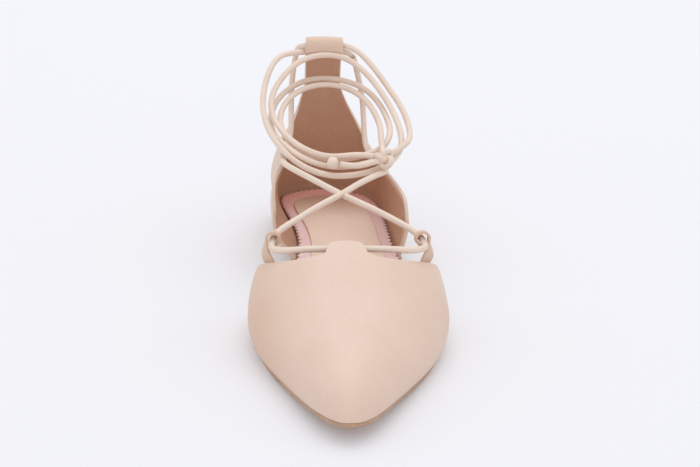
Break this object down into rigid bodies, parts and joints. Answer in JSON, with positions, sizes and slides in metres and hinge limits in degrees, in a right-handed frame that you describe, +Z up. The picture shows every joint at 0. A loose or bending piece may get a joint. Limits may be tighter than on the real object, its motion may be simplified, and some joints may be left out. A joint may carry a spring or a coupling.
{
  "type": "lace-up flat",
  "caption": "Pointed-toe lace-up flat shoe, left foot, with cut-away sides, a heel quarter with a back strap and a round lace wound at the ankle and tied.",
  "frame": {"origin": "on the floor under the middle of the shoe's box, without its free lace", "axes": "+Z up; +Y from the toe to the heel, so the toe points along -Y; +X to the outer (lateral) side of this left shoe"},
  "size_m": [0.0854, 0.2518, 0.0928],
  "materials": {
    "upper_leather": "nude full-grain leather, fine pebble grain, soft sheen",
    "sole_leather": "tan-brown leather sole with a burnished edge",
    "heel_rubber": "brown stacked heel with a rubber lift, matt",
    "insole_board": "dark brown leatherboard, matt",
    "sock_pink": "pink lining leather with a pinked edge, matt",
    "pad_beige": "beige sock leather, matt",
    "lace_cord": "round nude leather cord, matt sheen"
  },
  "bodies": {
    "root": {"outsole": "sole_leather", "heel": "heel_rubber", "insole": "insole_board", "sock": "sock_pink", "pad": "pad_beige", "vamp": "upper_leather", "quarter": "upper_leather", "ear_loop_medial": "upper_leather", "ear_loop_lateral": "upper_leather", "lace_cross": "lace_cord", "lace_wind_medial": "lace_cord", "lace_wind_lateral": "lace_cord", "lace_end": "lace_cord", "tied_knot": "lace_cord", "end_knot": "lace_cord"}
  },
  "joints": []
}
